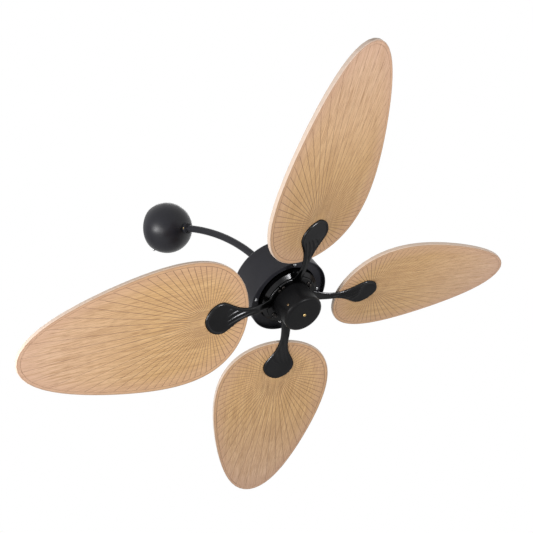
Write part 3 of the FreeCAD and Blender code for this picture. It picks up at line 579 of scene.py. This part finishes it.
def leaf_wood(name, shift, painted_shade, painted_root_shade):
    """Honey-coloured oak veneer with streaks and pores along the blade.

    It is paler toward the tip and on its side walls, there partly as a painted highlight.
    Painted shade darkens the grooves, and each blade and its root end have their own painted shade.
    """
    p = Paint(name, own_place=True)

    def grain(stretch, detail, rough, scale=1.0, distort=0.0):
        where = p.stretched(stretch, shift=(shift, GRAIN_SKEW * shift, 0.0))
        return p.noise(scale, detail, rough, where, distort)

    # each blade's painted shade, for how the light falls on it
    def shaded(colour):
        return scaled(colour, painted_shade)

    warp = grain((1.0, 1.6, 1.0), detail=2.0, rough=0.5, scale=9.0)
    bands = grain((5.0, 85.0, 20.0), detail=4.0, rough=0.6, distort=0.4)
    streaks = grain((13.0, 460.0, 60.0), detail=5.0, rough=0.62)
    pores = grain((40.0, 1300.0, 300.0), detail=2.0, rough=0.5)
    along = p.add("ShaderNodeSeparateXYZ", Vector=p.where).outputs["X"]
    tone = p.ramp(bands, *((stop, shaded(colour)) for stop, colour in WOOD_BANDS))
    tone = p.blend(p.ranged(warp, 0.0, 0.4), tone, shaded(WOOD_WARP))
    tone = p.blend(p.ranged(along, 0.0, 0.6, start=0.36, end=TIP_R * MM), tone, shaded(WOOD_TIP))
    # painted light and shade toward the root end, its own on each blade
    root = p.ranged(along, 1.0, 0.0, start=0.2, end=0.45)
    tone = p.blend(root, tone, (painted_root_shade,) * 3, "MULTIPLY")
    tone = p.blend(p.ranged(streaks, 0.75, 0.0, start=0.36, end=0.54), tone, shaded(WOOD_STREAK))
    tone = p.blend(p.ranged(pores, 0.7, 0.0, start=0.3, end=0.48), tone, shaded(WOOD_PORE))
    for mask, share, colour in (("edge", 0.45, shaded(WOOD_EDGE)),
                                # painted shade in the grooves
                                ("groove_shade", 0.95, shaded(WOOD_GROOVE_SHADE)),
                                # side walls: partly their own tone, partly a painted highlight
                                ("side", 0.65, SIDE_TONE_AND_HIGHLIGHT)):
        tone = p.blend(p.maths("MULTIPLY", p.mask(mask), share), tone, colour)
    relief = p.maths("ADD", streaks, p.maths("MULTIPLY", pores, 0.7))
    p.bump(relief, distance=0.00012, strength=0.6)
    return p.set(Base_Color=tone, Roughness=p.ranged(streaks, 0.58, 0.46), Specular_IOR_Level=0.3)


# Colour, roughness, height and scale of the coat's texture, gloss; for metal, also metal and rim
COATS = {
    "matte_black": ((0.016, 0.016, 0.020), 0.42, 0.000006, 1400.0, 0.2),
    "gloss_black": ((0.029, 0.029, 0.030), 0.22, 0.000003, 700.0, 0.5, 1.0, 0.55),
    "satin_black": ((0.006, 0.006, 0.0065), 0.36, 0.000012, 900.0, 0.10),
    "satin_ball": ((0.008, 0.008, 0.012), 0.37, 0.000005, 1400.0, 0.35),
}

# Colour and roughness
METALS = {
    "aged_brass": ((0.22, 0.15, 0.085), 0.4),
    "zinc_steel": ((0.62, 0.64, 0.66), 0.34),
    "bright_screws": ((0.72, 0.73, 0.74), 0.22),
    "dark_screws": ((0.05, 0.045, 0.042), 0.42),
    "brass": ((0.78, 0.56, 0.25), 0.25),
    "bearing_steel": ((0.68, 0.69, 0.70), 0.15),
    "cast_aluminium": ((0.66, 0.67, 0.68), 0.42),
    "core_steel": ((0.36, 0.36, 0.37), 0.45),
    "copper_wire": ((0.75, 0.34, 0.16), 0.3),
}

# Colour and roughness; for a coarser grain, also its scale and height
MOULDINGS = {
    "black_plastic": ((0.02, 0.02, 0.021), 0.45),
    "ivory_plastic": ((0.74, 0.70, 0.60), 0.4),
    "fibre": ((0.30, 0.11, 0.06), 0.7, 900.0, 0.00006),
    "grommet_rubber": ((0.018, 0.018, 0.018), 0.75),
}

# Nodes whose finish differs from the rest of their slot
OWN_FINISH = {"switch_cap": "satin_black", "front_plate": "matte_black",
              "canopy_ball": "satin_ball", "cap_screws": "aged_brass"}

finishes = {name: make(name, *values)
            for make, table in ((coated, COATS), (bare_metal, METALS), (moulded, MOULDINGS))
            for name, values in table.items()}


def dress_cad():
    """Each CAD node takes its own finish where it has one, or else the finish of its slot."""
    for node in nodes.values():
        for slot in node.material_slots:
            name = slot.material.name.split(".")[0] if slot.material else ""
            name = OWN_FINISH.get(node.name, name)
            if name in finishes:
                slot.material = finishes[name]


SHARP_ANGLE = 50.0


def build_rotor_pieces():
    """Blades and irons, in the places of the CAD ones."""
    fan = fan_matrix()
    blade_points, blade_faces, masks = blade_mesh()
    iron_points, iron_faces = iron_mesh()
    for number, painted_shades in enumerate(LEAF_PAINTED_SHADES, 1):
        around = fan @ turn(REST_ANGLE + 360.0 * (number - 1) / BLADE_COUNT, "Z")
        leaf = mesh_object("leaf_blade_" + str(number), blade_points, blade_faces, around @ LEAN, masks)
        wood = leaf_wood("leaf_wood_" + str(number), GRAIN_STEP * number, *painted_shades)
        leaf.data.materials.append(wood)
        weigh_normals(leaf)
        iron = mesh_object("ridged_iron_" + str(number), iron_points, iron_faces, around)
        iron.data.materials.append(finishes["gloss_black"])
        iron.data.set_sharp_from_angle(angle=math.radians(SHARP_ANGLE))
        for piece, node, slot in ((leaf, "blade_", "leaf_wood"), (iron, "blade_iron_", "gloss_black")):
            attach(piece, "rotor")
            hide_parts(node + str(number))


# Stage
CAMERA_AT = Vector((-1.44969, -1.52365, -0.76765))
CAMERA_RIGHT = Vector((0.50388, -0.81902, 0.27442))
CAMERA_UP = Vector((-0.4354, 0.03355, 0.89961))
CAMERA_LENS = 52.4525
CAMERA_SENSOR = 36.0
FLOOR_Z = -2.2
FLOOR_HALF = 7.0
FLOOR_LIFT = 0.22               # light that the floor adds where it is seen
SOFT_LIGHT = 0.3                # strength of the world's light on the object

# Softboxes: direction from the target, distance, diameter and power
LAMP_TARGET = Vector((0.0, -0.3, -0.1))
LAMPS = {
    "left_box": ((-0.833, 0.259, -0.491), 2.2, 0.45, 34.0),
    "right_box": ((-0.148, -0.985, -0.091), 2.2, 0.45, 24.0),
    "front_box": ((-0.60, -0.55, -0.56), 2.2, 1.0, 4.0),
    "low_box": ((-0.79, -0.10, -0.60), 2.2, 0.8, 12.5),
    "back_box": ((0.55, 0.62, 0.56), 2.6, 1.6, 16.0),
}


def build_camera():
    data = bpy.data.cameras.new("camera")
    data.sensor_width = CAMERA_SENSOR
    data.lens = CAMERA_LENS
    camera = add_object("camera", data)
    back = CAMERA_RIGHT.cross(CAMERA_UP)
    turned = Matrix((CAMERA_RIGHT, CAMERA_UP, back)).transposed().to_4x4()
    camera.matrix_world = Matrix.Translation(CAMERA_AT) @ turned
    bpy.context.scene.camera = camera


def build_lights():
    """Softboxes in the directions that the highlights on the ball and the drum give."""
    for name, (way, reach, size, power) in LAMPS.items():
        data = bpy.data.lights.new(name, "AREA")
        data.shape = "DISK"
        data.size = size
        data.energy = power
        lamp = add_object(name, data)
        place = LAMP_TARGET + Vector(way) * reach
        lamp.location = place
        lamp.rotation_mode = "QUATERNION"
        lamp.rotation_quaternion = (LAMP_TARGET - place).to_track_quat("-Z", "Y")


def seen_rays(tree):
    """1 on the rays that see the backdrop: from the camera, in reflections and through glass."""
    path = tree.nodes.new("ShaderNodeLightPath")
    seen = path.outputs["Is Camera Ray"]
    for ray in ("Is Glossy Ray", "Is Transmission Ray"):
        either = tree.nodes.new("ShaderNodeMath")
        either.operation = "MAXIMUM"
        tree.links.new(seen, either.inputs[0])
        tree.links.new(path.outputs[ray], either.inputs[1])
        seen = either.outputs["Value"]
    return seen


def build_floor():
    p = Paint("pale_floor")
    clouds = p.noise(scale=3.0, detail=4.0)
    tone = p.ramp(clouds, (0.3, (0.86, 0.86, 0.86)), (0.7, (0.90, 0.90, 0.89)))
    p.bump(p.noise(scale=260.0), distance=0.0002)
    lift = p.maths("MULTIPLY", seen_rays(p.tree), FLOOR_LIFT)
    p.set(Base_Color=tone, Roughness=0.8, Emission_Color=WHITE, Emission_Strength=lift)
    corners = [(x * FLOOR_HALF, y * FLOOR_HALF, FLOOR_Z)
               for x, y in ((-1, -1), (1, -1), (1, 1), (-1, 1))]
    mesh = bpy.data.meshes.new("floor")
    mesh.from_pydata(corners, [], [(0, 1, 2, 3)])
    mesh.materials.append(p.material)
    floor = add_object("floor", mesh)


def build_world():
    """White as a backdrop, also in reflections, and a softer even light on everything else."""
    world = bpy.data.worlds.new("studio")
    bpy.context.scene.world = world
    world.use_nodes = True
    tree = world.node_tree
    tree.nodes.clear()
    mix = tree.nodes.new("ShaderNodeMixShader")
    tree.links.new(seen_rays(tree), mix.inputs["Fac"])
    for socket, strength in ((mix.inputs[1], SOFT_LIGHT), (mix.inputs[2], 1.0)):
        ground = tree.nodes.new("ShaderNodeBackground")
        ground.inputs["Color"].default_value = WHITE
        ground.inputs["Strength"].default_value = strength
        tree.links.new(ground.outputs["Background"], socket)
    out = tree.nodes.new("ShaderNodeOutputWorld")
    tree.links.new(mix.outputs["Shader"], out.inputs["Surface"])


dress_cad()
build_rotor_pieces()
build_camera()
build_lights()
build_floor()
build_world()
bpy.context.scene.view_settings.view_transform = "Standard"
